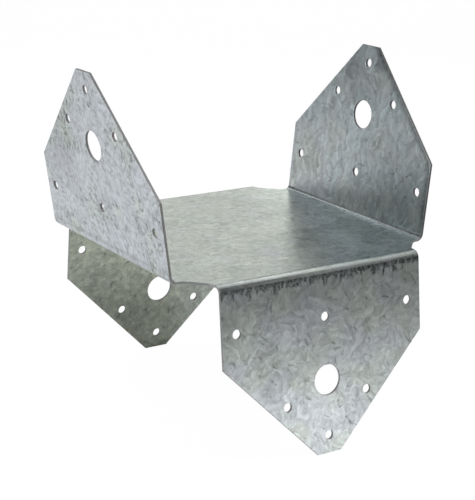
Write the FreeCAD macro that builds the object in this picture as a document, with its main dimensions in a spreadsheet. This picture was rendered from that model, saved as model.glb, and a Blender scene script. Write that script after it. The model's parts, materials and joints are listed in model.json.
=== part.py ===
import FreeCAD, Part
import math
import os
import Sketcher
from collections import namedtuple

# Column cap: one sheet of galvanised steel that joins a beam to the post under it.
# The square plate lies between post and beam. Two flanges are folded up to hold the beam's sides,
# and two are folded down to hold the post's sides. Each flange leans a little outwards, so that the
# cap slips over the timber, and is punched for nails and one bolt.
# X runs across the beam, from the left flange to the right one. Y runs along the beam, from the front
# flange to the back one. The origin is the middle of the plate's underside, which sits on the post.

# Driving sizes, in millimetres and degrees
SIZES = {
    "sheet_thickness": 1.3,
    "bend_radius": 2.4,         # inside the fold
    "beam_width": 139.7,        # clear between the flanges that stand up, at the plate
    "post_width": 139.7,        # clear between the flanges that hang down, at the plate
    "corner_setback": 14.3,     # from the side of the timber to the side edge of a flange
    "relief_radius": 5.3,       # hollow where a cut corner runs into a flange
    "flange_reach": 85.7,       # from the inner corner of the fold to the tip, along the flange
    "shoulder_reach": 36.5,     # from the same corner to where the taper starts
    "tip_width": 12.9,
    "left_lean": 8.8,
    "right_lean": 5.3,
    "front_lean": 7.0,
    "back_lean": 5.6,
    "nail_hole": 4.3,
    "bolt_hole": 14.3,
    "row_reach": 21.2,          # from the inner corner of the fold to the row of three nail holes
    "row_edge_distance": 7.7,   # from a side edge to the end hole of the row
    "taper_edge_distance": 7.1,  # from a tapered edge to the nail hole beside it
    "taper_hole_setback": 26.1,  # back from the tip
    "bolt_setback": 34.8,       # back from the tip
    "tip_hole_setback": 8.6,    # back from the tip
}

# A flange stands half of one timber width from the middle, across it, and its fold runs along the other.
# It is drawn on an origin plane, on that plane's positive or negative side, and rises up (1) or down (-1).
Flange = namedtuple("Flange", "across along plane side rise")
FLANGES = {
    "right": Flange("beam_width", "post_width", "YZ_Plane", 1, 1),
    "left": Flange("beam_width", "post_width", "YZ_Plane", -1, 1),
    "front": Flange("post_width", "beam_width", "XZ_Plane", 1, -1),
    "back": Flange("post_width", "beam_width", "XZ_Plane", -1, -1),
}

# How a sketch numbers its own axes, and the points of a line, arc or circle. The origin is a point of
# an axis.
HORIZONTAL_AXIS, VERTICAL_AXIS = range(-1, -3, -1)
START, END, CENTRE = range(1, 4)
ORIGIN = (HORIZONTAL_AXIS, START)

NORMAL = FreeCAD.Vector(0, 0, 1)

doc = FreeCAD.newDocument("ColumnCap")
sheet = doc.addObject("Spreadsheet::Sheet", "Sizes")
for row, (alias, value) in enumerate(SIZES.items(), start=1):
    sheet.set("A%d" % row, str(value))
    sheet.setAlias("A%d" % row, alias)
doc.recompute()

body = doc.addObject("PartDesign::Body", "ColumnCap")
body.Label = "column_cap"
planes = {feature.Role: feature for feature in body.Origin.OriginFeatures}


def size(alias):
    """The number in the sheet's cell of that name."""
    return float(getattr(sheet, alias))


def point(x, y):
    """A point of a sketch."""
    return FreeCAD.Vector(x, y, 0)


def new_sketch(name, plane, offset=FreeCAD.Placement()):
    """An empty sketch on one of the body's origin planes, moved by offset."""
    sketch = body.newObject("Sketcher::SketchObject", name)
    sketch.AttachmentSupport = (planes[plane], [""])
    sketch.MapMode = "FlatFace"
    sketch.AttachmentOffset = offset
    return sketch


def bind(sketch, kind, places, value, formula):
    """A dimension of the sketch that follows a formula of the sheet's cells."""
    index = sketch.addConstraint(Sketcher.Constraint(kind, *places, value))
    sketch.setExpression("Constraints[%d]" % index, formula)


def join(sketch, first, first_end, second, second_end, kind="Coincident"):
    """Two ends of a sketch's lines or arcs meet."""
    sketch.addConstraint(Sketcher.Constraint(kind, first, first_end, second, second_end))


def bend_setback(name):
    """Length of flat that the fold takes up from its inner corner: the number and its formula."""
    lean = size(name + "_lean")
    number = size("bend_radius") * math.tan(math.radians((90 - lean) / 2))
    return number, "Sizes.bend_radius * tan((90 - Sizes.%s_lean) / 2)" % name


def fold_start(name):
    """Distance from the middle of the plate to the line where a fold begins."""
    across = FLANGES[name].across
    number, formula = bend_setback(name)
    return size(across) / 2 - number, "Sizes.%s / 2 - %s" % (across, formula)


def flange_width(name):
    """Width of a flange along its fold."""
    along = FLANGES[name].along
    number = size(along) - 2 * size("corner_setback")
    return number, "Sizes.%s - 2 * Sizes.corner_setback" % along


def draw_side(sketch, name, along_x, sign):
    """One straight side of the plate, on the line where that flange's fold begins."""
    distance, distance_formula = fold_start(name)
    width, width_formula = flange_width(name)
    low, high = -width / 2, width / 2
    if along_x:
        ends = (point(low, sign * distance), point(high, sign * distance))
        mirror, kind = VERTICAL_AXIS, "DistanceY"
    else:
        ends = (point(sign * distance, low), point(sign * distance, high))
        mirror, kind = HORIZONTAL_AXIS, "DistanceX"
    side = sketch.addGeometry(Part.LineSegment(*ends))
    sketch.addConstraint(Sketcher.Constraint("Symmetric", side, START, side, END, mirror))
    bind(sketch, "Distance", (side,), width, width_formula)
    outward = (ORIGIN, (side, START)) if sign > 0 else ((side, START), ORIGIN)
    bind(sketch, kind, outward[0] + outward[1], distance, distance_formula)
    return side


def draw_relief(sketch, side, side_end, along_x, outward):
    """The hollow arc beside one end of a side, square to it, turning into the cut corner.

    outward gives the signs of X and Y at that corner of the plate."""
    radius = size("relief_radius")
    line = sketch.Geometry[side]
    foot = line.EndPoint if side_end == END else line.StartPoint
    step = point(outward[0] * radius, 0) if along_x else point(0, outward[1] * radius)
    centre = foot + step
    toward_foot = math.atan2(-step.y, -step.x)
    toward_corner = math.atan2(-outward[1], -outward[0])
    turn = math.remainder(toward_corner - toward_foot, 2 * math.pi)
    first, last = sorted((toward_foot, toward_foot + turn))
    arc = sketch.addGeometry(Part.ArcOfCircle(Part.Circle(centre, NORMAL, radius), first, last))
    foot_end, corner_end = (START, END) if turn > 0 else (END, START)
    join(sketch, arc, foot_end, side, side_end)
    align = "Horizontal" if along_x else "Vertical"
    join(sketch, arc, CENTRE, side, side_end, align)
    bind(sketch, "Radius", (arc,), radius, "Sizes.relief_radius")
    return arc, corner_end


def arc_point(sketch, arc, arc_end):
    """Where an arc of the sketch starts or ends."""
    curve = sketch.Geometry[arc]
    return curve.StartPoint if arc_end == START else curve.EndPoint


def make_plate():
    """The flat plate: a square with its corners cut off, up to where the four folds begin."""
    sketch = new_sketch("PlateOutline", "XY_Plane")
    sides = {
        (1, 0): draw_side(sketch, "right", False, 1),
        (-1, 0): draw_side(sketch, "left", False, -1),
        (0, -1): draw_side(sketch, "front", True, -1),
        (0, 1): draw_side(sketch, "back", True, 1),
    }
    for outward in ((1, 1), (-1, 1), (-1, -1), (1, -1)):
        upright = sides[(outward[0], 0)]
        level = sides[(0, outward[1])]
        upright_end = END if outward[1] > 0 else START
        level_end = END if outward[0] > 0 else START
        first, first_end = draw_relief(sketch, upright, upright_end, False, outward)
        second, second_end = draw_relief(sketch, level, level_end, True, outward)
        ends = (arc_point(sketch, first, first_end), arc_point(sketch, second, second_end))
        cut = sketch.addGeometry(Part.LineSegment(*ends))
        join(sketch, cut, START, first, first_end, "Tangent")
        join(sketch, cut, END, second, second_end, "Tangent")
    plate = body.newObject("PartDesign::Pad", "Plate")
    plate.Profile = sketch
    plate.setExpression("Length", "Sizes.sheet_thickness")
    doc.recompute()


def draw_rectangle(sketch, width, width_formula, low, low_formula, high, high_formula):
    """A rectangle centred on the vertical axis, between two heights on the same side of the origin."""
    half = width / 2
    corners = [point(-half, low), point(half, low), point(half, high), point(-half, high)]
    lines = []
    for corner, next_corner in zip(corners, corners[1:] + corners[:1]):
        lines.append(sketch.addGeometry(Part.LineSegment(corner, next_corner)))
    for line, next_line in zip(lines, lines[1:] + lines[:1]):
        join(sketch, line, END, next_line, START)
    bottom, right, top, left = lines
    sketch.addConstraint(Sketcher.Constraint("Symmetric", bottom, START, bottom, END, VERTICAL_AXIS))
    sketch.addConstraint(Sketcher.Constraint("Horizontal", top))
    sketch.addConstraint(Sketcher.Constraint("Vertical", right))
    sketch.addConstraint(Sketcher.Constraint("Vertical", left))
    bind(sketch, "Distance", (bottom,), width, width_formula)
    for line, height, formula in ((bottom, low, low_formula), (top, high, high_formula)):
        places = ORIGIN + (line, START) if height > 0 else (line, START) + ORIGIN
        bind(sketch, "DistanceY", places, abs(height), formula)


def make_bend(name):
    """The fold: the sheet's edge turned about an axis that lies the bend radius off the plate's face."""
    side, rise = FLANGES[name].side, FLANGES[name].rise
    start, start_formula = fold_start(name)
    width, width_formula = flange_width(name)
    inner = size("bend_radius")
    outer = inner + size("sheet_thickness")
    axis_height = outer if rise > 0 else -inner
    axis_formula = "Sizes.bend_radius + Sizes.sheet_thickness" if rise > 0 else "-Sizes.bend_radius"
    offset = FreeCAD.Placement(FreeCAD.Vector(0, axis_height, side * start), FreeCAD.Rotation())
    sketch = new_sketch(name.title() + "BendSection", FLANGES[name].plane, offset)
    sketch.setExpression("AttachmentOffset.Base.y", axis_formula)
    sketch.setExpression("AttachmentOffset.Base.z", "%d * (%s)" % (side, start_formula))
    inner_edge = (-rise * inner, "Sizes.bend_radius")
    outer_edge = (-rise * outer, "Sizes.bend_radius + Sizes.sheet_thickness")
    low, high = (outer_edge, inner_edge) if rise > 0 else (inner_edge, outer_edge)
    draw_rectangle(sketch, width, width_formula, *low, *high)
    bend = body.newObject("PartDesign::Revolution", name.title() + "Bend")
    bend.Profile = sketch
    bend.ReferenceAxis = (sketch, ["H_Axis"])
    bend.Reversed = side * rise > 0
    bend.setExpression("Angle", "90 - Sizes.%s_lean" % name)
    doc.recompute()


def draw_outline(sketch, name):
    """A flange's outline: straight sides, sloping shoulders and a blunt tip."""
    width, width_formula = flange_width(name)
    foot, foot_formula = bend_setback(name)
    shoulder = size("shoulder_reach")
    reach = size("flange_reach")
    half, half_tip = width / 2, size("tip_width") / 2
    corners = [
        point(-half, foot),
        point(half, foot),
        point(half, shoulder),
        point(half_tip, reach),
        point(-half_tip, reach),
        point(-half, shoulder),
    ]
    lines = []
    for corner, next_corner in zip(corners, corners[1:] + corners[:1]):
        lines.append(sketch.addGeometry(Part.LineSegment(corner, next_corner)))
    for line, next_line in zip(lines, lines[1:] + lines[:1]):
        join(sketch, line, END, next_line, START)
    bottom, right, right_taper, tip, left_taper, left = lines
    for level in (bottom, tip):
        sketch.addConstraint(Sketcher.Constraint("Symmetric", level, START, level, END, VERTICAL_AXIS))
    for upright in (right, left):
        sketch.addConstraint(Sketcher.Constraint("Vertical", upright))
    join(sketch, right, END, left, START, "Horizontal")
    bind(sketch, "Distance", (bottom,), width, width_formula)
    bind(sketch, "Distance", (tip,), size("tip_width"), "Sizes.tip_width")
    bind(sketch, "DistanceY", ORIGIN + (bottom, START), foot, foot_formula)
    bind(sketch, "DistanceY", ORIGIN + (right, END), shoulder, "Sizes.shoulder_reach")
    bind(sketch, "DistanceY", ORIGIN + (tip, START), reach, "Sizes.flange_reach")
    return right_taper, left_taper


def punch(sketch, x, y, diameter_name):
    """A round hole near x, y, with its diameter bound to the sheet."""
    diameter = size(diameter_name)
    circle = sketch.addGeometry(Part.Circle(point(x, y), NORMAL, diameter / 2))
    bind(sketch, "Diameter", (circle,), diameter, "Sizes." + diameter_name)
    return circle


def draw_holes(sketch, name, right_taper, left_taper):
    """The holes of a flange: a row of three, one beside each taper, one at the tip, and the bolt's."""
    width, width_formula = flange_width(name)
    reach = size("flange_reach")
    row = size("row_reach")
    end_hole = width / 2 - size("row_edge_distance")
    end_formula = "(%s) / 2 - Sizes.row_edge_distance" % width_formula
    for sign in (-1, 1):
        circle = punch(sketch, sign * end_hole, row, "nail_hole")
        places = ORIGIN + (circle, CENTRE) if sign > 0 else (circle, CENTRE) + ORIGIN
        bind(sketch, "DistanceX", places, end_hole, end_formula)
        bind(sketch, "DistanceY", ORIGIN + (circle, CENTRE), row, "Sizes.row_reach")
    middle = punch(sketch, 0, row, "nail_hole")
    sketch.addConstraint(Sketcher.Constraint("PointOnObject", middle, CENTRE, VERTICAL_AXIS))
    bind(sketch, "DistanceY", ORIGIN + (middle, CENTRE), row, "Sizes.row_reach")
    for diameter_name, setback in (("nail_hole", "tip_hole_setback"), ("bolt_hole", "bolt_setback")):
        height = reach - size(setback)
        circle = punch(sketch, 0, height, diameter_name)
        sketch.addConstraint(Sketcher.Constraint("PointOnObject", circle, CENTRE, VERTICAL_AXIS))
        formula = "Sizes.flange_reach - Sizes.%s" % setback
        bind(sketch, "DistanceY", ORIGIN + (circle, CENTRE), height, formula)
    height = reach - size("taper_hole_setback")
    run = width / 2 - size("tip_width") / 2
    rise = reach - size("shoulder_reach")
    edge = size("tip_width") / 2 + (reach - height) * run / rise
    inset = size("taper_edge_distance") * math.hypot(run, rise) / rise
    for sign, taper in ((1, right_taper), (-1, left_taper)):
        circle = punch(sketch, sign * (edge - inset), height, "nail_hole")
        formula = "Sizes.flange_reach - Sizes.taper_hole_setback"
        bind(sketch, "DistanceY", ORIGIN + (circle, CENTRE), height, formula)
        places = (circle, CENTRE, taper)
        bind(sketch, "Distance", places, size("taper_edge_distance"), "Sizes.taper_edge_distance")


def make_flange(name):
    """The flat of a flange, on the inner face that leans away from the timber."""
    side, rise = FLANGES[name].side, FLANGES[name].rise
    across = FLANGES[name].across
    lean = size(name + "_lean")
    angle = side * lean if rise > 0 else 180 - side * lean
    angle_formula = "%d * Sizes.%s_lean" % (side, name)
    if rise < 0:
        angle_formula = "180 - " + angle_formula
    corner_height = size("sheet_thickness") if rise > 0 else 0
    corner = FreeCAD.Vector(0, corner_height, side * size(across) / 2)
    offset = FreeCAD.Placement(corner, FreeCAD.Rotation(FreeCAD.Vector(1, 0, 0), angle))
    sketch = new_sketch(name.title() + "FlangeOutline", FLANGES[name].plane, offset)
    if rise > 0:
        sketch.setExpression("AttachmentOffset.Base.y", "Sizes.sheet_thickness")
    sketch.setExpression("AttachmentOffset.Base.z", "%d * Sizes.%s / 2" % (side, across))
    sketch.setExpression("AttachmentOffset.Rotation.Angle", angle_formula)
    right_taper, left_taper = draw_outline(sketch, name)
    draw_holes(sketch, name, right_taper, left_taper)
    flange = body.newObject("PartDesign::Pad", name.title() + "Flange")
    flange.Profile = sketch
    flange.Reversed = side * rise < 0
    flange.setExpression("Length", "Sizes.sheet_thickness")
    doc.recompute()


def check_model():
    """Every feature is sound, every sketch is fully held, and the cap is one solid."""
    for item in doc.Objects:
        if "Invalid" in item.State or "Error" in item.State:
            raise RuntimeError("failed feature: " + item.Name)
        if item.TypeId == "Sketcher::SketchObject" and not item.FullyConstrained:
            raise RuntimeError("sketch not fully held: " + item.Name)
    if body.Shape.isNull() or not body.Shape.isValid():
        raise RuntimeError("the cap's shape is not valid")
    if len(body.Shape.Solids) != 1:
        raise RuntimeError("the cap is not one solid")


make_plate()
for flange_name in FLANGES:
    make_bend(flange_name)
    make_flange(flange_name)
doc.recompute()
check_model()

os.makedirs("parts", exist_ok=True)
body.Shape.exportStep("parts/%s.step" % body.Label)
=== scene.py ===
import json
import math

import bpy
from bpy.props import FloatProperty, FloatVectorProperty, IntProperty, PointerProperty
from mathutils import Matrix, Vector


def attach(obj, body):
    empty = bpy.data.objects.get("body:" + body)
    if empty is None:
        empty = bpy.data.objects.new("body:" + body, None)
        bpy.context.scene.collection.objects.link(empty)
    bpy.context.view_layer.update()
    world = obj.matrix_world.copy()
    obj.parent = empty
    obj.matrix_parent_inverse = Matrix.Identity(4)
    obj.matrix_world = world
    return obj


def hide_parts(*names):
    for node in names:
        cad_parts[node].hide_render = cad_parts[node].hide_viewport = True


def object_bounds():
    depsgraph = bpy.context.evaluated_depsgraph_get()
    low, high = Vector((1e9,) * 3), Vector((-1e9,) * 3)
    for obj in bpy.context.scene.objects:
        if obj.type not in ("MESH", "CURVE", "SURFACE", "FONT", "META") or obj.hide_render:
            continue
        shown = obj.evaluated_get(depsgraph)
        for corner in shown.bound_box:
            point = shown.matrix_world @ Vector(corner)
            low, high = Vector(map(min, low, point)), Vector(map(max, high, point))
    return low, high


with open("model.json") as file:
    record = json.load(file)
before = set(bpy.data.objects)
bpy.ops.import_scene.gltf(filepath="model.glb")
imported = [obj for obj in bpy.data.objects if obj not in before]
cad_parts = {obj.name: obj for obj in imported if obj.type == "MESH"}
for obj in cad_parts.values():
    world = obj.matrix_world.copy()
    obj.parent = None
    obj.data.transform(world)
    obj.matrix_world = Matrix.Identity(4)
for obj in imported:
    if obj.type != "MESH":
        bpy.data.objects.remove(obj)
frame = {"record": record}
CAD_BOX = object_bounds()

bl_info = {
    "name": "Column cap",
    "version": (1, 0, 0),
    "blender": (4, 5, 0),
    "location": "View3D > Sidebar > Column cap",
    "description": "Folds a post and beam cap from one punched sheet of galvanised steel",
    "category": "Object",
}

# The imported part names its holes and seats, and those give the sizes that the sheet shares with them.
MOUNTS = {mount["name"]: mount for mount in frame["record"]["mounts"]}
MILLIMETRE = 0.001
SHEET_NODE = "column_cap"
BLANK_ATTRIBUTE = "blank"

# Points nearer than this are welded, and edges that turn more than LIP_ANGLE get a rounded lip.
WELD_DISTANCE = 0.001 * MILLIMETRE
LIP_ANGLE = math.radians(60)
LIP_SEGMENTS = 2
# A face whose normal is more upright than FLAT_LIMIT is shaded flat, and edges past SHARP_ANGLE stay sharp.
FLAT_LIMIT = 0.999
SHARP_ANGLE = math.radians(35)
# Patterns are read this many millimetres above and below the blank, so that its two faces differ.
FACE_SHIFT = 37.0
WHITE = (1.0, 1.0, 1.0, 1.0)
# Height of the camera's sensor in millimetres, and the nearest that it sees in metres
SENSOR_HEIGHT = 24.0
NEAREST_VIEW = 0.01

# Each flange is drawn along +Y on the blank and turned to its side. It is folded up (1) or down (-1).
FLANGES = {
    "right": (-math.pi / 2, 1),
    "left": (math.pi / 2, 1),
    "front": (math.pi, -1),
    "back": (0.0, -1),
}


def mount_lean(name):
    """How far a flange leans outwards, read from the direction of its bolt hole."""
    rise = FLANGES[name][1]
    return math.asin(-rise * MOUNTS[name + "_bolt"]["axis"][2])


def mount_size(mount_name, dimension):
    """One of a mount's dimensions, in metres."""
    return MOUNTS[mount_name]["dims"][dimension] * MILLIMETRE


def length(name, default, description):
    """A length, in metres."""
    return FloatProperty(
        name=name, description=description, default=default, min=0.0, unit="LENGTH", precision=5)


def angle(name, default, description):
    """An angle, in radians."""
    return FloatProperty(name=name, description=description, default=default, subtype="ANGLE")


def share(name, default, description):
    """A number between nothing and all."""
    return FloatProperty(
        name=name, description=description, default=default, min=0.0, max=1.0, subtype="FACTOR")


def amount(name, default, description):
    """A plain number."""
    return FloatProperty(name=name, description=description, default=default, min=0.0)


def colour(name, default, description):
    """A linear colour."""
    return FloatVectorProperty(
        name=name, description=description, default=default, min=0.0, max=1.0, size=3, subtype="COLOR")


class CapSizes(bpy.types.PropertyGroup):
    """Sizes of the sheet before and after folding."""

    thickness: length("Thickness", MOUNTS["beam_seat"]["pos_m"][2], "Thickness of the sheet")
    bend_radius: length("Bend radius", 0.0024, "Radius inside each fold")
    timber_width: length("Timber width", 0.1397, "Clear width between facing flanges, at the plate")
    corner_setback: length("Corner setback", 0.0143, "From the side of the timber to the side of a flange")
    relief_radius: length("Relief radius", 0.0053, "Radius of the hollow between a cut corner and a flange")
    flange_reach: length("Flange reach", 0.0857, "From the fold's inner corner to the tip")
    shoulder_reach: length("Shoulder reach", 0.0365, "From the fold's inner corner to the start of the taper")
    tip_width: length("Tip width", 0.0129, "Width of the blunt tip")
    nail_hole: length("Nail hole", 2 * mount_size("right_row_nails", "hole_r_mm"), "Diameter of a nail hole")
    bolt_hole: length("Bolt hole", 2 * mount_size("right_bolt", "r_mm"), "Diameter of a bolt hole")
    row_spread: length(
        "Row spread", mount_size("right_row_nails", "pcd_mm"), "Between the end holes of the row")
    row_reach: length("Row reach", 0.0212, "From the fold's inner corner to the row of three nail holes")
    taper_spread: length(
        "Taper spread", mount_size("right_taper_nails", "pcd_mm"), "Between the taper's nail holes")
    taper_setback: length(
        "Taper hole setback", 0.0261, "From the tip back to the two nail holes at the taper")
    bolt_setback: length("Bolt setback", 0.0348, "From the tip back to the bolt hole")
    tip_setback: length("Tip hole setback", 0.0086, "From the tip back to the nail hole there")
    right_lean: angle("Right lean", mount_lean("right"), "How far the right flange leans outwards")
    left_lean: angle("Left lean", mount_lean("left"), "How far the left flange leans outwards")
    front_lean: angle("Front lean", mount_lean("front"), "How far the front flange leans outwards")
    back_lean: angle("Back lean", mount_lean("back"), "How far the back flange leans outwards")
    edge_round: length("Edge round", 0.00018, "Width of the rounded lip of each sheared edge")
    bend_steps: IntProperty(name="Bend steps", description="Facets round a fold", default=14, min=3)
    nail_steps: IntProperty(name="Nail hole steps", description="Facets round a nail hole", default=40, min=8)
    bolt_steps: IntProperty(name="Bolt hole steps", description="Facets round a bolt hole", default=72, min=8)
    relief_steps: IntProperty(
        name="Relief steps", description="Facets round a corner's hollow", default=10, min=2)


class ZincFinish(bpy.types.PropertyGroup):
    """Colours and texture of the zinc coating."""

    cool: colour("Cool zinc", (0.572, 0.603, 0.626), "Bluish crystals")
    warm: colour("Warm zinc", (0.566, 0.609, 0.580), "Greenish crystals")
    teal: colour("Teal zinc", (0.540, 0.615, 0.622), "Zinc inside the right flange and beside it")
    olive: colour("Olive zinc", (0.650, 0.690, 0.570), "Zinc inside the back flange")
    cut_edge: colour("Cut edge", (0.215, 0.215, 0.21), "Sheared edges and hole walls")
    # Painted highlight: the colour of a bright line along the inside of the left and right folds
    ridge_highlight: colour("Worn ridge", (0.72, 0.74, 0.72), "Bright line along the inside of a fold")
    # Also the colour of the painted dark line of shade along the end of the front and back folds
    drag_mark_and_shade: colour("Drag mark", (0.075, 0.085, 0.083), "Dark marks that the die left beside a fold")
    roughness: share("Roughness", 0.34, "Roughness of the coating")
    bump_strength: share("Bump strength", 0.15, "How strongly the coating's unevenness shows")
    bump_height: length("Bump height", 0.00005, "Height of the coating's unevenness")
    crystal_size: length("Crystal size", 0.012, "Width of a large crystal")
    contrast: share("Contrast", 1.0, "Difference in tone between crystals")


class StudioStage(bpy.types.PropertyGroup):
    """Where the camera stands, and the light."""

    azimuth: angle("Azimuth", math.radians(-33.671), "Turn of the camera about the upright axis")
    elevation: angle("Elevation", math.radians(16.827), "Height of the camera above the plate, as an angle")
    roll: angle("Roll", math.radians(1.375), "Tilt of the picture")
    distance: length("Distance", 0.6923, "From the camera to the point it looks at")
    aim: FloatVectorProperty(
        name="Aim", description="Point that the camera looks at", size=3, subtype="TRANSLATION",
        default=(0.00047, 0.0, -0.00909))
    lens: FloatProperty(
        name="Lens", description="Focal length for a picture 24 mm high", default=67.53, unit="CAMERA")
    table: colour("Table", (0.92, 0.92, 0.92), "White table top, as the metal mirrors it")
    table_glow: amount("Table glow", 0.97, "Brightness of the table as the camera sees it")
    table_shade: colour("Table shade", (0.06, 0.06, 0.06), "How much the table shows light and shadow")
    floor_reach: length("Floor reach", 6.0, "From the middle of the floor to its sides")
    room: amount("Room", 0.05, "Brightness of the room that the metal mirrors")


class Wire:
    """One output of a node. Arithmetic on it adds Math nodes to the same tree."""

    def __init__(self, board, socket):
        self.board = board
        self.socket = socket

    def __add__(self, other):
        return self.board.math("ADD", self, other)

    def __radd__(self, other):
        return self.board.math("ADD", other, self)

    def __sub__(self, other):
        return self.board.math("SUBTRACT", self, other)

    def __rsub__(self, other):
        return self.board.math("SUBTRACT", other, self)

    def __mul__(self, other):
        return self.board.math("MULTIPLY", self, other)

    def __rmul__(self, other):
        return self.board.math("MULTIPLY", other, self)

    def __truediv__(self, other):
        return self.board.math("DIVIDE", self, other)

    def __neg__(self):
        return self.board.math("MULTIPLY", self, -1.0)


def find_socket(sockets, key):
    """The socket of that number, or of that name among those that the node's settings leave in use."""
    if isinstance(key, int):
        return sockets[key]
    for socket in sockets:
        if socket.enabled and key in (None, socket.name):
            return socket
    raise KeyError("no socket named %s" % key)


class Board:
    """A node tree, filled by calls that each add one node."""

    def __init__(self, tree):
        self.tree = tree

    def plug(self, socket, value):
        """Links a wire, or several, to a socket, or sets its value."""
        for item in value if isinstance(value, list) else [value]:
            if isinstance(item, Wire):
                self.tree.links.new(item.socket, socket)
            else:
                socket.default_value = item

    def node(self, kind, settings=None, sockets=None):
        """Adds a node: its settings come first, then the values or links of its sockets."""
        node = self.tree.nodes.new(kind)
        for name, value in (settings or {}).items():
            setattr(node, name, value)
        for key, value in (sockets or {}).items():
            self.plug(find_socket(node.inputs, key), value)
        return node

    def add(self, kind, settings=None, sockets=None, output=None):
        """Adds a node and gives one of its outputs, the first unless it is named."""
        return Wire(self, find_socket(self.node(kind, settings, sockets).outputs, output))

    def math(self, operation, *values):
        """Adds a Math node."""
        return self.add("ShaderNodeMath", {"operation": operation}, dict(enumerate(values)))

    def vector(self, operation, *values, output=None, scale=None):
        """Adds a Vector Math node."""
        sockets = dict(enumerate(values))
        if scale is not None:
            sockets["Scale"] = scale
        return self.add("ShaderNodeVectorMath", {"operation": operation}, sockets, output)

    def combine(self, x, y, z):
        """A vector of three numbers."""
        return self.add("ShaderNodeCombineXYZ", None, {"X": x, "Y": y, "Z": z})

    def split(self, vector):
        """The three numbers of a vector."""
        node = self.node("ShaderNodeSeparateXYZ", None, {"Vector": vector})
        return [Wire(self, socket) for socket in node.outputs]


def empty_tree(owner):
    """The node tree of a new material or world, with nothing in it."""
    owner.use_nodes = True
    owner.node_tree.nodes.clear()
    return owner.node_tree


# Geometry: the sheet is drawn flat, punched, given its thickness and folded.

def new_tree(name, numbers=(), whole_numbers=()):
    """A tree of geometry nodes: its board, the geometry that comes in and its named sizes."""
    tree = bpy.data.node_groups.new(name, "GeometryNodeTree")
    tree.interface.new_socket("Geometry", in_out="INPUT", socket_type="NodeSocketGeometry")
    for size in numbers:
        tree.interface.new_socket(size, in_out="INPUT", socket_type="NodeSocketFloat")
    for size in whole_numbers:
        tree.interface.new_socket(size, in_out="INPUT", socket_type="NodeSocketInt")
    tree.interface.new_socket("Geometry", in_out="OUTPUT", socket_type="NodeSocketGeometry")
    board = Board(tree)
    entry = board.node("NodeGroupInput")
    wires = {socket.name: Wire(board, socket) for socket in entry.outputs if socket.name}
    return board, wires.pop("Geometry"), wires


def close_tree(board, geometry, material):
    """Ends a tree: what it made becomes plain geometry of one material."""
    plain = board.add("GeometryNodeRealizeInstances", None, {"Geometry": geometry})
    finished = board.add("GeometryNodeSetMaterial", None, {"Geometry": plain, "Material": material})
    board.node("NodeGroupOutput", None, {"Geometry": finished})
    return board.tree


def add_modifier(piece, tree, values):
    """Puts a tree on a piece and sets its named inputs."""
    modifier = piece.modifiers.new(tree.name, "NODES")
    modifier.node_group = tree
    for item in tree.interface.items_tree:
        if item.in_out == "INPUT" and item.name in values:
            modifier[item.identifier] = values[item.name]


def join(board, *geometries):
    """Several geometries as one."""
    return board.add("GeometryNodeJoinGeometry", None, {"Geometry": list(geometries)})


def move(board, geometry, x, y, z=0.0):
    """Geometry moved by three distances."""
    place = board.combine(x, y, z)
    return board.add("GeometryNodeTransform", None, {"Geometry": geometry, "Translation": place})


def flange_tree(material):
    """Adds one flange to the blank: the strip that will be folded, then the punched flat."""
    board, blank, size = new_tree(
        "Punched flange",
        ("Turn", "Fold start", "Fold length", "Width", "Side length", "Taper length", "Tip width",
         "Nail hole", "Bolt hole", "Row spread", "Row height", "Taper spread", "Taper height",
         "Bolt height", "Tip height"),
        ("Fold steps", "Nail steps", "Bolt steps"))
    foot = size["Fold start"] + size["Fold length"]
    strip = board.add("GeometryNodeMeshGrid", None, {
        "Size X": size["Width"], "Size Y": size["Fold length"],
        "Vertices X": 2, "Vertices Y": size["Fold steps"] + 1})
    strip = move(board, strip, 0.0, size["Fold start"] + size["Fold length"] / 2)
    nail = board.add("GeometryNodeCurvePrimitiveCircle", None, {
        "Resolution": size["Nail steps"], "Radius": size["Nail hole"] / 2})
    bolt = board.add("GeometryNodeCurvePrimitiveCircle", None, {
        "Resolution": size["Bolt steps"], "Radius": size["Bolt hole"] / 2})

    def nail_row(count, spread, height):
        """Nail holes in a row along the fold."""
        line = board.add("GeometryNodeMeshLine", {"mode": "OFFSET"}, {
            "Count": count,
            "Start Location": board.combine(-spread / 2, foot + height, 0.0),
            "Offset": board.combine(spread / (count - 1), 0.0, 0.0)})
        holes = board.add("GeometryNodeInstanceOnPoints", None, {"Points": line, "Instance": nail})
        return board.add("GeometryNodeRealizeInstances", None, {"Geometry": holes})

    def cut_out(*outlines):
        """A flat face with holes, from its outline and theirs."""
        return board.add("GeometryNodeFillCurve", {"mode": "NGONS"}, {"Curve": join(board, *outlines)})

    straight = board.add("GeometryNodeCurvePrimitiveQuadrilateral", {"mode": "RECTANGLE"}, {
        "Width": size["Width"], "Height": size["Side length"]})
    straight = move(board, straight, 0.0, foot + size["Side length"] / 2)
    straight = cut_out(straight, nail_row(3, size["Row spread"], size["Row height"]))
    taper = board.add("GeometryNodeCurvePrimitiveQuadrilateral", {"mode": "TRAPEZOID"}, {
        "Bottom Width": size["Width"], "Top Width": size["Tip width"],
        "Offset": 0.0, "Height": size["Taper length"]})
    taper = move(board, taper, 0.0, foot + size["Side length"] + size["Taper length"] / 2)
    taper = cut_out(
        taper,
        nail_row(2, size["Taper spread"], size["Taper height"]),
        move(board, nail, 0.0, foot + size["Tip height"]),
        move(board, bolt, 0.0, foot + size["Bolt height"]))
    flange = board.add("GeometryNodeTransform", None, {
        "Geometry": join(board, strip, straight, taper),
        "Rotation": board.combine(0.0, 0.0, size["Turn"])})
    return close_tree(board, join(board, blank, flange), material)


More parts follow.
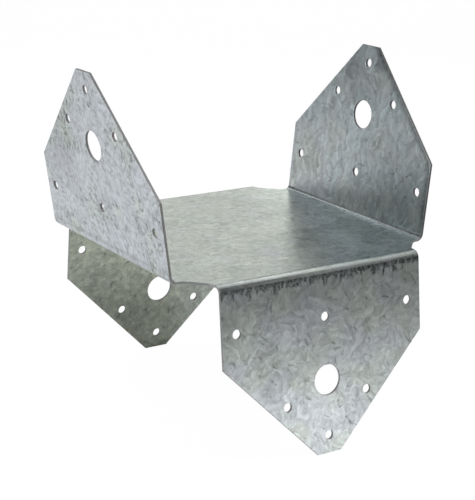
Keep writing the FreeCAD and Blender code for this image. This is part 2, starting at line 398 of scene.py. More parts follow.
def thickness_tree(material):
    """Welds the blank's flats together and gives them the sheet's thickness, half to each side."""
    board, blank, size = new_tree("Sheet thickness", ("Thickness", "Weld distance"))
    flat = board.add("GeometryNodeMergeByDistance", None, {
        "Geometry": blank, "Distance": size["Weld distance"]})
    low = move(board, flat, 0.0, 0.0, -size["Thickness"] / 2)
    high = board.add("GeometryNodeExtrudeMesh", {"mode": "FACES"}, {
        "Mesh": low, "Offset": (0.0, 0.0, 1.0), "Offset Scale": size["Thickness"], "Individual": False})
    under = board.add("GeometryNodeFlipFaces", None, {"Mesh": low})
    slab = board.add("GeometryNodeMergeByDistance", None, {
        "Geometry": join(board, high, under), "Distance": size["Weld distance"]})
    return close_tree(board, slab, material)


def shading_tree(material):
    """Keeps each point's place on the flat blank, and rounds the shading of lips and hole walls only."""
    board, slab, size = new_tree("Blank places", ("Flat limit", "Sharp angle"))
    place = board.add("GeometryNodeInputPosition")
    marked = board.add("GeometryNodeStoreNamedAttribute", {"data_type": "FLOAT_VECTOR", "domain": "POINT"}, {
        "Geometry": slab, "Name": BLANK_ATTRIBUTE, "Value": place})
    upward = board.split(board.add("GeometryNodeInputNormal"))[2]
    round_face = board.math("LESS_THAN", board.math("ABSOLUTE", upward), size["Flat limit"])
    shaded = board.add("GeometryNodeSetShadeSmooth", {"domain": "FACE"}, {
        "Geometry": marked, "Shade Smooth": round_face})
    turn = board.add("GeometryNodeInputMeshEdgeAngle", output="Unsigned Angle")
    shaded = board.add("GeometryNodeSetShadeSmooth", {"domain": "EDGE"}, {
        "Geometry": shaded, "Shade Smooth": board.math("LESS_THAN", turn, size["Sharp angle"])})
    return close_tree(board, shaded, material)


def fold_tree(material):
    """Bends all of the sheet that lies past a fold's start about that fold's axis."""
    board, slab, size = new_tree("Fold", ("Turn", "Fold start", "Middle radius", "Fold angle", "Rise"))
    place = board.add("GeometryNodeInputPosition")
    outward = board.add("ShaderNodeVectorRotate", {"rotation_type": "Z_AXIS"}, {
        "Vector": (0.0, 1.0, 0.0), "Angle": size["Turn"]})
    past = board.vector("DOT_PRODUCT", place, outward, output="Value") - size["Fold start"]
    height = board.split(place)[2]
    radius = size["Middle radius"] - height * size["Rise"]
    arc = size["Middle radius"] * size["Fold angle"]
    bend = board.math("MINIMUM", past / size["Middle radius"], size["Fold angle"])
    rest = board.math("MAXIMUM", past - arc, 0.0)
    cosine = board.math("COSINE", bend)
    sine = board.math("SINE", bend)
    reach = radius * sine + rest * cosine
    lift = size["Middle radius"] - radius * cosine + rest * sine
    slide = board.vector("SCALE", outward, scale=reach - past)
    raised = board.combine(0.0, 0.0, lift * size["Rise"] - height)
    beyond = board.math("GREATER_THAN", past, 0.0)
    in_fold = beyond * board.math("LESS_THAN", past, arc)
    shaded = board.add("GeometryNodeSetShadeSmooth", {"domain": "FACE"}, {
        "Geometry": slab, "Selection": in_fold, "Shade Smooth": True})
    folded = board.add("GeometryNodeSetPosition", None, {
        "Geometry": shaded, "Selection": beyond, "Offset": board.vector("ADD", slide, raised)})
    return close_tree(board, folded, material)


# Places on the blank, worked out from the sizes

def half_width(sizes):
    """Half the width of a flange."""
    return sizes.timber_width / 2 - sizes.corner_setback


def middle_radius(sizes):
    """Radius of a fold, at the middle of the sheet's thickness."""
    return sizes.bend_radius + sizes.thickness / 2


def fold_angle(sizes, name):
    """The angle that a flange is folded through: a right angle less its lean."""
    return math.pi / 2 - getattr(sizes, name + "_lean")


def fold_length(sizes, name):
    """Length of flat sheet that goes round a fold."""
    return middle_radius(sizes) * fold_angle(sizes, name)


def fold_setback(sizes, name):
    """Length of flat that the fold takes up from its inner corner."""
    return sizes.bend_radius * math.tan(fold_angle(sizes, name) / 2)


def fold_start(sizes, name):
    """Distance from the middle of the plate to the line where a fold begins."""
    return sizes.timber_width / 2 - fold_setback(sizes, name)


def flange_end(sizes, name):
    """Distance from the middle of the plate to a flange's tip, on the blank."""
    return fold_start(sizes, name) + fold_length(sizes, name) + sizes.flange_reach - fold_setback(sizes, name)


def plate_outline(sizes):
    """The plate on the blank: straight sides at the folds, and cut corners between hollow arcs."""
    radius = sizes.relief_radius
    steps = sizes.relief_steps
    right = fold_start(sizes, "right")
    left = -fold_start(sizes, "left")
    back = fold_start(sizes, "back")
    front = -fold_start(sizes, "front")

    def hollow_point(step):
        """A point of a hollow: how far along the plate's side it lies, and how far in."""
        turn = math.pi / 4 * step / steps
        return half_width(sizes) + radius - radius * math.cos(turn), radius * math.sin(turn)

    points = []
    for index, (x, y) in enumerate([(right, back), (left, back), (left, front), (right, front)]):
        side_x = math.copysign(1, x)
        side_y = math.copysign(1, y)
        corner = []
        for step in range(steps + 1):
            along, inward = hollow_point(step)
            corner.append((x - side_x * inward, side_y * along))
        for step in range(steps, -1, -1):
            along, inward = hollow_point(step)
            corner.append((side_x * along, y - side_y * inward))
        points += corner if index % 2 == 0 else reversed(corner)
    return points


def flange_inputs(sizes, name):
    """One flange's sizes, as its tree names them. Heights are from the end of the fold."""
    setback = fold_setback(sizes, name)
    return {
        "Turn": FLANGES[name][0],
        "Fold start": fold_start(sizes, name),
        "Fold length": fold_length(sizes, name),
        "Width": 2 * half_width(sizes),
        "Side length": sizes.shoulder_reach - setback,
        "Taper length": sizes.flange_reach - sizes.shoulder_reach,
        "Tip width": sizes.tip_width,
        "Nail hole": sizes.nail_hole,
        "Bolt hole": sizes.bolt_hole,
        "Row spread": sizes.row_spread,
        "Row height": sizes.row_reach - setback,
        "Taper spread": sizes.taper_spread,
        "Taper height": sizes.flange_reach - sizes.taper_setback - setback,
        "Bolt height": sizes.flange_reach - sizes.bolt_setback - setback,
        "Tip height": sizes.flange_reach - sizes.tip_setback - setback,
        "Fold steps": sizes.bend_steps,
        "Nail steps": sizes.nail_steps,
        "Bolt steps": sizes.bolt_steps,
    }


def fold_inputs(sizes, name):
    """One fold's sizes, as its tree names them."""
    turn, rise = FLANGES[name]
    return {
        "Turn": turn,
        "Fold start": fold_start(sizes, name),
        "Middle radius": middle_radius(sizes),
        "Fold angle": fold_angle(sizes, name),
        "Rise": float(rise),
    }


def add_lip(piece, sizes):
    """Rounds the sheared edges of the slab, before it is folded."""
    lip = piece.modifiers.new("Sheared lip", "BEVEL")
    lip.width = sizes.edge_round
    lip.segments = LIP_SEGMENTS
    lip.limit_method = "ANGLE"
    lip.angle_limit = LIP_ANGLE
    lip.use_clamp_overlap = False
    lip.loop_slide = False


def make_sheet(sizes, material):
    """The whole cap as one closed mesh, folded from its blank."""
    outline = plate_outline(sizes)
    plate = bpy.data.meshes.new("plate_outline")
    plate.from_pydata([(x, y, 0.0) for x, y in outline], [], [range(len(outline))])
    piece = bpy.data.objects.new("folded_sheet", plate)
    bpy.context.scene.collection.objects.link(piece)
    flange = flange_tree(material)
    for name in FLANGES:
        add_modifier(piece, flange, flange_inputs(sizes, name))
    add_modifier(piece, thickness_tree(material), {
        "Thickness": sizes.thickness, "Weld distance": WELD_DISTANCE})
    add_lip(piece, sizes)
    add_modifier(piece, shading_tree(material), {"Flat limit": FLAT_LIMIT, "Sharp angle": SHARP_ANGLE})
    fold = fold_tree(material)
    for name in FLANGES:
        add_modifier(piece, fold, fold_inputs(sizes, name))
    depsgraph = bpy.context.evaluated_depsgraph_get()
    folded = bpy.data.meshes.new_from_object(
        piece.evaluated_get(depsgraph), preserve_all_data_layers=True, depsgraph=depsgraph)
    piece.modifiers.clear()
    piece.data = folded
    folded.transform(Matrix.Translation((0.0, 0.0, sizes.thickness / 2)))
    bpy.data.meshes.remove(plate)
    return piece


# Materials: the zinc is drawn in millimetres of the flat blank, so its pattern runs over the folds.

class ZincBoard(Board):
    """A material's node tree, with the simple patterns that the zinc is drawn from."""

    def noise(self, vector, scale, detail=2.0, roughness=0.5, output="Fac"):
        """Soft noise."""
        return self.add("ShaderNodeTexNoise", None, {
            "Vector": vector, "Scale": scale, "Detail": detail, "Roughness": roughness}, output)

    def cells(self, spot, settings=None, spot_socket="Vector"):
        """Scattered cells: all that a point is told of the cell it lies in."""
        node = self.node("ShaderNodeTexVoronoi", settings, {spot_socket: spot, "Scale": 1.0})
        return {socket.name: Wire(self, socket) for socket in node.outputs if socket.enabled}

    def smooth(self, value, low, high):
        """0 up to low, 1 from high, and smooth between."""
        return self.add("ShaderNodeMapRange", {"interpolation_type": "SMOOTHSTEP"}, {
            "Value": value, "From Min": low, "From Max": high})

    def fade(self, value, low, high):
        """1 up to low, 0 from high, and smooth between."""
        return 1.0 - self.smooth(value, low, high)

    def absolute(self, value):
        """A number without its sign."""
        return self.math("ABSOLUTE", value)

    def paint(self, under, cover, over):
        """One colour over another, where cover is more than 0."""
        under, over = [tint if isinstance(tint, Wire) else (*tint, 1.0) for tint in (under, over)]
        return self.add("ShaderNodeMix", {"data_type": "RGBA"}, {"Factor": cover, "A": under, "B": over})

    def stretch(self, vector, lengthwise, crosswise):
        """Counts places in cells of this length and width, in millimetres."""
        return self.vector("MULTIPLY", vector, (1 / lengthwise, 1 / crosswise, 1.0))


class SheetPlace:
    """Where a point lies on the flat blank, and the masks and noises that several layers share."""

    def __init__(self, board, sizes):
        blank = board.add("ShaderNodeAttribute", {"attribute_name": BLANK_ATTRIBUTE}, output="Vector")
        self.along, self.across, self.depth = board.split(board.vector("SCALE", blank, scale=1 / MILLIMETRE))
        self.face = board.math("SIGN", self.depth)
        self.place = board.combine(self.along, self.across, self.face * FACE_SHIFT)

        # Parts of the sheet, each passing into the plate over the length of a fold
        plate_edge = fold_start(sizes, "front") / MILLIMETRE
        self.fold_arc = fold_length(sizes, "front") / MILLIMETRE
        fold_end = plate_edge + self.fold_arc
        self.on_left = board.smooth(-self.along, plate_edge, fold_end)
        self.on_right = board.smooth(self.along, plate_edge, fold_end)
        self.on_front = board.smooth(-self.across, plate_edge, fold_end)
        self.on_ends = board.smooth(board.absolute(self.across), plate_edge, fold_end)
        self.on_flange = self.on_left + self.on_right + self.on_ends
        self.on_plate = 1.0 - self.on_flange
        self.top_side = board.math("GREATER_THAN", self.face, 0.0)
        self.inside_back = board.smooth(self.across, plate_edge, fold_end) * (1.0 - self.top_side)

        # Folds and edges: how far past its fold a point of the left, the right or an end flange lies
        self.past_left = -self.along - fold_end
        self.past_right = self.along - fold_end
        self.past_end = board.absolute(self.across) - fold_end
        on_sides = board.math("MAXIMUM", self.on_left, self.on_right)
        self.inner_fold = on_sides * (1.0 - on_sides) * 4.0 * self.top_side
        self.outer_fold = self.on_ends * (1.0 - self.on_ends) * 4.0 * self.top_side
        # The ridge is where the painted highlight runs inside the left and right folds
        ridge_place = plate_edge + self.fold_arc * 0.45
        ridge_gap = board.absolute(board.absolute(self.along) - ridge_place)
        self.ridge = board.fade(ridge_gap, 0.15, 0.5) * self.top_side * (1.0 - self.on_ends)
        half_thickness = sizes.thickness / 2 / MILLIMETRE
        self.wall = board.fade(board.absolute(self.depth), half_thickness - 0.10, half_thickness - 0.01)

        # Slow passages from one side of the sheet to another
        self.near_end = board.smooth(-self.across, -40.0, 60.0)
        self.toward_right = board.smooth(self.along - self.across * 0.45, 20.0, 55.0)
        self.back_right = board.smooth(self.along, 2.0, 22.0)

        # Shared noises
        self.grain = board.noise(self.place, scale=0.9, detail=3.0, roughness=0.65)
        self.mottle = board.noise(self.place, scale=0.34, detail=3.0, roughness=0.6)
        self.patch = board.noise(self.place, scale=0.06)
        self.ragged = board.noise(board.combine(self.along * 0.5, self.face, 0.0), scale=1.0)


def zinc_crystals(board, sheet, crystal_size):
    """Crystals with wandering borders, each with its tone, its shine and its direction of growth."""
    drift = board.noise(sheet.place, scale=0.10, detail=1.5, output="Color")
    drift = board.vector("SUBTRACT", drift, (0.5, 0.5, 0.5))
    bent = board.vector("ADD", sheet.place, board.vector("SCALE", drift, scale=5.2))
    crystal = board.cells(board.stretch(bent, crystal_size, crystal_size))
    tone, heading, shine = board.split(crystal["Color"])
    spread = 0.8 + sheet.on_ends * 2.2 + sheet.on_left * 1.0 + sheet.on_right * 0.9
    turn = sheet.on_left * 0.75 + (heading - 0.5) * spread
    grown = board.add("ShaderNodeVectorRotate", {"rotation_type": "Z_AXIS"}, {"Vector": bent, "Angle": turn})
    return bent, grown, tone - 0.5, shine - 0.5


def zinc_flakes(board, grown, lengthwise, crosswise, portion):
    """Scattered flakes with painted shade on one side and painted light on the other, from -1 to 1."""
    spot = board.stretch(grown, lengthwise, crosswise)
    flake = board.cells(spot)
    kind = board.split(flake["Color"])[1]
    aside = board.split(board.vector("SUBTRACT", spot, flake["Position"]))[1]
    shape = board.fade(flake["Distance"], 0.42, 0.60) * board.math("LESS_THAN", kind, portion)
    return shape * (board.smooth(aside, -0.35, 0.35) * 2.0 - 1.0)


def zinc_leaves(board, sheet, grown):
    """Leaves that cover the sheet: the painted shade across each, dark on one side and light on the other,
    their tone and outline.
    """
    spot = board.stretch(grown, lengthwise=9.5, crosswise=5.0)
    spot = board.vector("SCALE", spot, scale=1.0 + sheet.on_ends * 0.25)
    leaf = board.cells(spot)
    tone, kind, _ = board.split(leaf["Color"])
    aside = board.split(board.vector("SUBTRACT", spot, leaf["Position"]))[1]
    facing = board.math("GREATER_THAN", kind, 0.35) * 2.0 - 1.0
    painted_leaf_shade = (board.smooth(aside, -0.5, 0.5) - 0.5) * facing
    border = board.cells(spot, {"feature": "DISTANCE_TO_EDGE"})["Distance"]
    return painted_leaf_shade, tone - 0.5, board.fade(border, 0.02, 0.10)


def zinc_rims(board, bent):
    """Curved rims of leaves, from -1 on a shaded rim to 1 on a lit one."""
    def terraces(vector):
        """Rolling ground cut into steps with soft rims."""
        ground = board.noise(vector, scale=0.12, detail=1.0) * 4.2
        part = board.math("FRACT", ground)
        return ground - part + board.smooth(part, 0.40, 0.60)

    return terraces(bent) - terraces(board.vector("ADD", bent, (0.60, 0.50, 0.0)))


def zinc_spangle(board, sheet, crystal_size):
    """How much the zinc's pattern, with painted light and shade across its leaves, flakes and rims, lightens
    or darkens a point, and how the crystal there shines.
    """
    bent, grown, tone, shine = zinc_crystals(board, sheet, crystal_size)
    painted_leaf_shade, leaf_tone, outline = zinc_leaves(board, sheet, grown)
    broken = board.smooth(board.noise(sheet.place, scale=0.22), 0.44, 0.56)
    rim = zinc_rims(board, bent) * (0.20 + broken * 0.80)
    rim = rim * 0.26 - board.absolute(rim) * (0.08 + sheet.on_ends * 0.05)
    medium = zinc_flakes(board, grown, lengthwise=5.0, crosswise=2.4, portion=0.80)
    large = zinc_flakes(board, grown, lengthwise=12.0, crosswise=4.6, portion=0.75)
    dark_medium = board.math("MINIMUM", medium, 0.25)
    dark_large = board.math("MINIMUM", large, 0.10)
    dashes = board.noise(board.stretch(sheet.place, 3.4, 2.2), scale=1.0, detail=3.0, roughness=0.6)
    cloud = board.noise(sheet.place, scale=0.05)
    marks = board.fade(board.noise(sheet.place, scale=0.5, roughness=0.55), 0.36, 0.50)
    marks = marks * (0.17 + board.smooth(sheet.patch, 0.40, 0.60) * 0.27)

    everywhere = (
        (sheet.grain - 0.5) * 0.30
        + (sheet.mottle - 0.5)
        * (0.70 - sheet.on_right * 0.45 - sheet.on_ends * 0.25 + sheet.inside_back * 0.70)
        + (cloud - 0.5) * (0.25 + sheet.on_ends * 0.15 + sheet.inside_back * 0.25)
        + tone * sheet.on_flange * 0.10
        + rim * (1.0 - sheet.on_left * 0.4 - sheet.on_plate * 0.4))
    plate = (dashes - 0.5) * 0.70 + painted_leaf_shade * 0.13 + leaf_tone * 0.12
    # The constants added here lighten the left flange, and the right and end flanges a little: painted light
    left = dark_medium * 0.20 + dark_large * 0.16 + 0.06 - marks * (1.0 - sheet.top_side * 0.5)
    right = painted_leaf_shade * 0.24 + leaf_tone * 0.18 + large * 0.09 + medium * 0.05 + 0.01
    ends = painted_leaf_shade * 0.22 + leaf_tone * 0.18 + large * 0.08 - outline * broken * 0.08 + 0.01
    spangle = (
        everywhere
        + plate * sheet.on_plate
        + left * sheet.on_left
        + right * sheet.on_right
        + ends * (sheet.on_ends - sheet.inside_back * 0.5))
    return spangle, shine


def zinc_colour(board, sheet, finish):
    """Bluish and greenish zinc, with teal on and beside the right flange and olive inside the back one."""
    tip = board.smooth(sheet.past_end, 15.0, 75.0)
    hue = sheet.patch + sheet.on_ends * 0.05 - sheet.on_left * 0.10 + sheet.on_plate * 0.13 - tip * 0.12
    hue = board.smooth(hue, 0.36, 0.64)
    zinc = board.paint(finish.cool, hue, finish.warm)
    low_back = board.smooth(sheet.across, 5.0, 40.0) * board.fade(sheet.past_right, 23.0, 43.0)
    teal_right = sheet.on_right * sheet.top_side * (0.95 - hue * 0.55) * (1.0 - low_back * 0.8)
    zinc = board.paint(zinc, teal_right, finish.teal)
    teal_plate = sheet.on_plate * sheet.top_side * sheet.toward_right * 0.7
    zinc = board.paint(zinc, teal_plate, finish.teal)
    return board.paint(zinc, sheet.inside_back * (0.85 - sheet.back_right * 0.35), finish.olive)


def flange_painted_light(board, sheet):
    """Painted light and shade over each flange: slow gradients that stand in for how the light falls on it,
    and a painted shadow inside the back flange next to the plate.
    """
    past_end = sheet.past_end
    front = board.smooth(past_end, 2.0, 80.0) * 0.33 - 0.155 - board.fade(past_end, 4.0, 26.0) * 0.07
    front_side = board.smooth(sheet.along, -40.0, 40.0) - 0.5
    front = front - board.smooth(past_end, 8.0, 25.0) * front_side * 0.09
    # Painted shadow inside the back flange, deepest next to the plate above it
    back = (board.smooth(past_end, 14.0, 65.0) - 0.3) * 0.32 + board.fade(past_end, 0.0, 22.0) * 0.38
    back = back - sheet.back_right * 0.18
    right = (board.smooth(sheet.past_right, 23.0, 78.0) - 0.4) * 0.18
    right = right + board.smooth(sheet.past_right, 53.0, 78.0) * 0.08
    left = board.smooth(sheet.across, 0.0, 40.0) * board.smooth(sheet.past_left, 13.0, 40.0) * 0.16
    painted_shade = back * sheet.inside_back + right * sheet.on_right + left * sheet.on_left
    return 1.0 + front * sheet.on_front - painted_shade


def plate_painted_light(board, sheet):
    """Painted light and shade over the plate: a slow gradient on its front right part, a painted brightening
    beside the right fold, and lighter toward the right flange than away from it.
    """
    front_right = board.smooth(sheet.along, -10.0, 10.0) * board.fade(sheet.across, 0.0, 25.0)
    slope = sheet.on_plate * front_right * (board.smooth(sheet.across, -60.0, 0.0) - 0.45)
    beside_fold = board.smooth(sheet.along, 10.0, 60.0) * board.fade(sheet.past_right, -2.0, 5.0)
    beside_fold = beside_fold * board.smooth(sheet.across, -20.0, 45.0) * sheet.top_side
    sides = sheet.on_plate * sheet.top_side * (sheet.toward_right * 0.30 - 0.07)
    return (1.0 + slope * 0.20) * (1.0 + beside_fold * (1.0 - sheet.on_ends) * 0.20) * (1.0 + sides)


def fold_painted_light(board, sheet):
    """Painted shade in the hollow of the left and right folds, across the front fold and low on the right
    flange, a painted highlight near the end of the front and back folds, and thin dark lines beside the
    folds.
    """
    past_end = sheet.past_end
    # Painted shade in the hollow of the left and right folds, deepest toward the front
    hollow = sheet.inner_fold * (0.16 + sheet.near_end * 0.66)
    # Painted shade low on the right flange, toward the front
    right_foot_shade = board.smooth(sheet.past_right, 6.0, 16.0) * board.fade(sheet.past_right, 23.0, 40.0)
    right_foot_shade = right_foot_shade * sheet.on_right * board.smooth(-sheet.across, 0.0, 30.0)
    # Painted highlight near the end of the front and back folds, on their outside
    painted_fold_highlight = board.smooth(past_end, -2.4, -1.2) * board.fade(past_end, -0.4, 0.2) * sheet.top_side
    # Painted shade across the outside of the front fold, deeper toward the right
    front_fold_shade = sheet.outer_fold * sheet.on_front * (0.12 + board.smooth(sheet.along, -5.0, 25.0) * 0.10)
    # Thin dark lines: on the outside just past the left fold, and where the front and back folds begin at the
    # plate
    left_line = board.smooth(sheet.past_left, 0.2, 0.8) * board.fade(sheet.past_left, 1.4, 2.8)
    left_line = left_line * (1.0 - sheet.top_side)
    plate_line = board.fade(board.absolute(past_end + sheet.fold_arc + 0.2), 0.3, 1.1) * sheet.top_side
    lines = (left_line * 0.35 + plate_line * 0.25) * sheet.ragged
    return (1.0 - hollow - right_foot_shade * 0.12 + painted_fold_highlight * 0.35) * (1.0 - front_fold_shade) * (1.0 - lines)


def right_edge_tone(board, sheet, sizes):
    """A dark rim inside the right flange, along its front side and the 45 degree taper there."""
    corner = (flange_end(sizes, "right") + sizes.tip_width / 2) / MILLIMETRE
    taper_gap = (corner - sheet.along + sheet.across) * math.cos(math.pi / 4)
    side_gap = sheet.across + half_width(sizes) / MILLIMETRE
    gap = board.math("MINIMUM", taper_gap, side_gap)
    return 1.0 - sheet.on_right * sheet.top_side * board.fade(gap, 0.6, 4.0) * 0.45


def fold_marks_and_shade(board, sheet):
    """Dark strokes on the outside of the front and back folds, square to the fold or slanting, and a painted
    dark line of shade along the end of each fold.
    """
    def strokes(spacing, slant, shortest, longest, offset):
        """Strokes of many lengths that start at the fold."""
        lean_here = (board.noise(board.combine(sheet.along * 0.13, offset, 0.0), scale=1.0) - 0.5) * slant
        spot = sheet.along / spacing + sheet.past_end * lean_here / spacing + offset
        stroke = board.cells(spot, {"voronoi_dimensions": "1D"}, "W")
        kind = board.split(stroke["Color"])[0]
        reach = shortest + kind * kind * (longest - shortest)
        return board.fade(stroke["Distance"], 0.18, 0.40) * board.fade(sheet.past_end / reach, 0.6, 1.1)

    gaps = board.noise(board.combine(sheet.along * 0.16, sheet.face, 5.0), scale=1.0)
    # Painted shade: a broken dark line along the end of the fold
    fold_end_shade = board.absolute(sheet.past_end - 0.1) / (sheet.ragged * 1.6 + 0.05)
    fold_end_shade = board.fade(fold_end_shade, 0.5, 1.2) * board.smooth(gaps, 0.42, 0.52)
    upright = strokes(spacing=2.7, slant=4.0, shortest=1.4, longest=6.5, offset=3.0)
    slanting = strokes(spacing=1.9, slant=8.0, shortest=0.8, longest=4.0, offset=11.0)
    marks = board.math("MAXIMUM", board.math("MAXIMUM", upright, slanting), fold_end_shade)
    return marks * sheet.top_side * board.smooth(sheet.past_end, -1.0, -0.4)


def zinc_material(finish, sizes):
    """Galvanised steel: spangled zinc with painted light, shade and highlights over the sheet and at its
    folds, with bare steel at the cut edges.
    """
    material = bpy.data.materials.new("spangled_zinc")
    board = ZincBoard(empty_tree(material))
    sheet = SheetPlace(board, sizes)
    spangle, shine = zinc_spangle(board, sheet, finish.crystal_size / MILLIMETRE)
    # The spangle's tone, times painted light and shade over the flanges, the plate and the folds, and a dark
    # rim inside the right flange
    light = (1.0 + spangle * finish.contrast) * flange_painted_light(board, sheet) * plate_painted_light(board, sheet)
    light = light * fold_painted_light(board, sheet) * right_edge_tone(board, sheet, sizes)
    coating = board.vector("SCALE", zinc_colour(board, sheet, finish), scale=light)

    # Dark marks beside the front and back folds, with the painted dark line of shade among them
    scuff_and_shade = fold_marks_and_shade(board, sheet)
    mark_and_shade_depth = 0.50 + board.smooth(sheet.grain, 0.40, 0.60) * 0.45
    mark_and_shade_depth = mark_and_shade_depth * (0.92 + board.smooth(sheet.along, -45.0, 45.0) * 0.20)
    coating = board.paint(coating, scuff_and_shade * mark_and_shade_depth, finish.drag_mark_and_shade)
    # Painted highlight along the inside of the left and right folds, broken by noise and weaker toward the
    # front
    ridge_highlight_breaks = board.smooth(board.noise(sheet.place, scale=0.25), 0.35, 0.60)
    painted_ridge_highlight = sheet.ridge * (0.42 - sheet.near_end * 0.26) * ridge_highlight_breaks
    coating = board.paint(coating, painted_ridge_highlight, finish.ridge_highlight)
    # Painted shade on the cut edges of the right flange, and painted light on those of the plate
    bare_painted_light = 1.0 - sheet.on_right * 0.65 + sheet.on_plate * 0.35
    bare = board.vector("SCALE", finish.cut_edge, scale=bare_painted_light)

    rough = finish.roughness + shine * 0.08 + (sheet.mottle - 0.5) * 0.08 + scuff_and_shade * 0.1
    rough = rough + sheet.wall * 0.15 + sheet.outer_fold * 0.06 - sheet.on_plate * 0.05
    bump = board.add("ShaderNodeBump", None, {
        "Strength": finish.bump_strength, "Distance": finish.bump_height,
        "Height": sheet.grain * 0.5 + sheet.mottle})
    # The sheet is less metallic on its cut edges and along the painted highlight inside the folds
    shader = board.add("ShaderNodeBsdfPrincipled", None, {
        "Base Color": board.paint(coating, sheet.wall, bare),
        "Metallic": 1.0 - sheet.wall * 0.7 - sheet.ridge * (1.0 - sheet.wall) * 0.6,
        "Roughness": rough,
        "Normal": bump})
    board.node("ShaderNodeOutputMaterial", None, {"Surface": shader})
    return material


# Stage: floor, light and camera

def seen_by_camera(board, other, camera):
    """Shows one shader to the camera, and the other to light and reflections."""
    camera_ray = board.add("ShaderNodeLightPath", output="Is Camera Ray")
    return board.add("ShaderNodeMixShader", None, {"Fac": camera_ray, 1: other, 2: camera})


def table_material(stage):
    """A white table top. The camera sees it glow, and the metal mirrors it lit from above."""
    material = bpy.data.materials.new("white_table")
    board = Board(empty_tree(material))
    matte = board.add("ShaderNodeBsdfDiffuse", None, {"Color": (*stage.table, 1.0)})
    glow = board.add("ShaderNodeEmission", None, {"Color": WHITE, "Strength": stage.table_glow})
    soft = board.add("ShaderNodeBsdfDiffuse", None, {"Color": (*stage.table_shade, 1.0)})
    seen = board.add("ShaderNodeAddShader", None, {0: glow, 1: soft})
    surface = seen_by_camera(board, matte, seen)
    board.node("ShaderNodeOutputMaterial", None, {"Surface": surface})
    return material


def make_floor(stage):
    """The floor, at the height of the lowest tips."""
    reach = stage.floor_reach
    low = CAD_BOX[0][2]
    mesh = bpy.data.meshes.new("floor")
    corners = [(-reach, -reach, low), (reach, -reach, low), (reach, reach, low), (-reach, reach, low)]
    mesh.from_pydata(corners, [], [range(len(corners))])
    mesh.materials.append(table_material(stage))
    floor = bpy.data.objects.new("floor", mesh)
    bpy.context.scene.collection.objects.link(floor)


def make_light(name, place, aim, size, power, tint=(1.0, 1.0, 1.0), mirrored=True):
    """A soft rectangular light that faces a point. The metal mirrors the lamp itself, unless told not to."""
    lamp = bpy.data.lights.new(name, "AREA")
    lamp.shape = "RECTANGLE"
    lamp.size, lamp.size_y = size
    lamp.energy = power
    lamp.color = tint
    light = bpy.data.objects.new(name, lamp)
    direction = Vector(aim) - Vector(place)
    light.matrix_world = Matrix.Translation(place) @ direction.to_track_quat("-Z", "Y").to_matrix().to_4x4()
    light.visible_camera = False
    light.visible_glossy = mirrored
    bpy.context.scene.collection.objects.link(light)


def make_mirrored_lights():
    """Softboxes and cards that the metal mirrors."""
    plate = (0.0, 0.0, 0.0)
    above_plate = (0.0, 0.0, 0.05)
    make_light(
        "top_softbox", place=(-0.1, 0.25, 0.60), aim=(-0.1, 0.25, 0.0), size=(1.0, 1.0), power=2.10,
        tint=(1.0, 1.0, 1.06))
    make_light(
        "right_card", place=(0.72, 0.10, 0.85), aim=plate, size=(1.2, 0.9), power=2.7,
        tint=(1.0, 1.0, 0.95))
    make_light("front_card", place=(0.85, -1.15, 0.70), aim=plate, size=(1.2, 0.8), power=0.8)
    make_light(
        "back_card", place=(1.1, 1.65, 0.50), aim=above_plate, size=(2.0, 1.1), power=5.67,
        tint=(0.99, 1.0, 0.95))
    make_light("back_left_card", place=(-1.2, 1.6, 0.50), aim=above_plate, size=(1.6, 1.0), power=0.78)
    make_light(
        "left_softbox", place=(-1.5, 0.2, 0.25), aim=plate, size=(1.0, 0.5), power=11.2,
        tint=(1.0, 1.0, 1.05))


def make_table_lamps():
    """Lamps over the table that shape the shadows, and that the metal doesn't mirror."""
    make_light(
        "floor_lamp", place=(-0.1, 0.25, 0.55), aim=(-0.1, 0.25, 0.0), size=(0.5, 0.5), power=1.10,
        mirrored=False)
    make_light(
        "far_lamp", place=(-0.45, 0.80, 0.40), aim=(-0.45, 0.80, 0.0), size=(0.5, 0.5), power=0.8,
        mirrored=False)
    make_light(
        "front_lamp", place=(0.02, -0.13, 0.15), aim=(0.02, -0.13, 0.0), size=(0.12, 0.12), power=0.406,
        mirrored=False)


def make_world(stage):
    """A dim room for the metal to mirror, and white where the camera looks past the table."""
    world = bpy.data.worlds.new("studio")
    board = Board(empty_tree(world))
    room = board.add("ShaderNodeBackground", None, {"Color": WHITE, "Strength": stage.room})
    white = board.add("ShaderNodeBackground", None, {"Color": WHITE, "Strength": 1.0})
    board.node("ShaderNodeOutputWorld", None, {"Surface": seen_by_camera(board, room, white)})
    bpy.context.scene.world = world


def make_camera(stage):
    """The camera at the photograph's angle."""
    turn = stage.azimuth
    rise = stage.elevation
    roll = stage.roll
    back = Vector((math.sin(turn) * math.cos(rise), -math.cos(turn) * math.cos(rise), math.sin(rise)))
    right = Vector((math.cos(turn), math.sin(turn), 0.0))
    up = back.cross(right)
    tilted_right = right * math.cos(roll) + up * math.sin(roll)
    tilted_up = up * math.cos(roll) - right * math.sin(roll)
    data = bpy.data.cameras.new("camera")
    data.sensor_fit = "VERTICAL"
    data.sensor_height = SENSOR_HEIGHT
    data.lens = stage.lens
    data.clip_start = NEAREST_VIEW
    camera = bpy.data.objects.new("camera", data)
    axes = Matrix((tilted_right, tilted_up, back)).transposed()
    camera.matrix_world = Matrix.Translation(Vector(stage.aim) + back * stage.distance) @ axes.to_4x4()
    bpy.context.scene.collection.objects.link(camera)
    bpy.context.scene.camera = camera


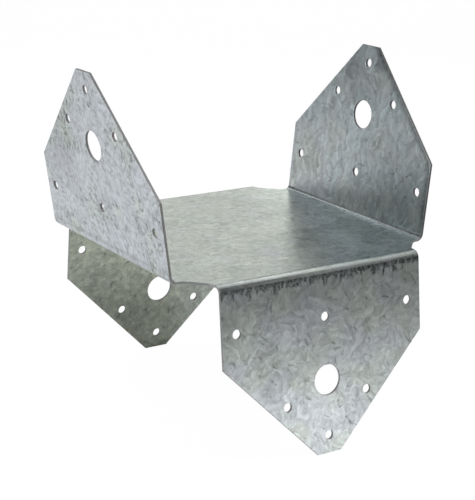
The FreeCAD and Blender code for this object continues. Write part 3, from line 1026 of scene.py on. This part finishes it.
class COLUMNCAP_OT_sheet(bpy.types.Operator):
    """Fold the cap from its punched blank and give it its zinc finish"""

    bl_idname = "column_cap.sheet"
    bl_label = "Fold the sheet"

    def execute(self, context):
        sizes = context.scene.cap_sizes
        material = zinc_material(context.scene.zinc_finish, sizes)
        piece = make_sheet(sizes, material)
        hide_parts(SHEET_NODE)
        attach(piece, "root")
        return {"FINISHED"}


class COLUMNCAP_OT_stage(bpy.types.Operator):
    """Set the table, the light and the camera"""

    bl_idname = "column_cap.stage"
    bl_label = "Set the stage"

    def execute(self, context):
        stage = context.scene.studio_stage
        make_floor(stage)
        make_world(stage)
        make_mirrored_lights()
        make_table_lamps()
        make_camera(stage)
        context.scene.view_settings.view_transform = "Standard"
        return {"FINISHED"}


class COLUMNCAP_PT_panel(bpy.types.Panel):
    """Sizes, finish and stage of the column cap"""

    bl_idname = "COLUMNCAP_PT_panel"
    bl_label = "Column cap"
    bl_space_type = "VIEW_3D"
    bl_region_type = "UI"
    bl_category = "Column cap"

    def draw(self, context):
        for group in (context.scene.cap_sizes, context.scene.zinc_finish, context.scene.studio_stage):
            box = self.layout.box()
            for name in group.__annotations__:
                box.prop(group, name)
        self.layout.operator(COLUMNCAP_OT_sheet.bl_idname)
        self.layout.operator(COLUMNCAP_OT_stage.bl_idname)


CLASSES = (CapSizes, ZincFinish, StudioStage, COLUMNCAP_OT_sheet, COLUMNCAP_OT_stage, COLUMNCAP_PT_panel)


def register():
    for cls in CLASSES:
        bpy.utils.register_class(cls)
    bpy.types.Scene.cap_sizes = PointerProperty(type=CapSizes)
    bpy.types.Scene.zinc_finish = PointerProperty(type=ZincFinish)
    bpy.types.Scene.studio_stage = PointerProperty(type=StudioStage)


def unregister():
    del bpy.types.Scene.studio_stage
    del bpy.types.Scene.zinc_finish
    del bpy.types.Scene.cap_sizes
    for cls in reversed(CLASSES):
        bpy.utils.unregister_class(cls)


def main():
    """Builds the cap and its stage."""
    register()
    bpy.ops.column_cap.sheet()
    bpy.ops.column_cap.stage()


if __name__ == "__main__":
    main()
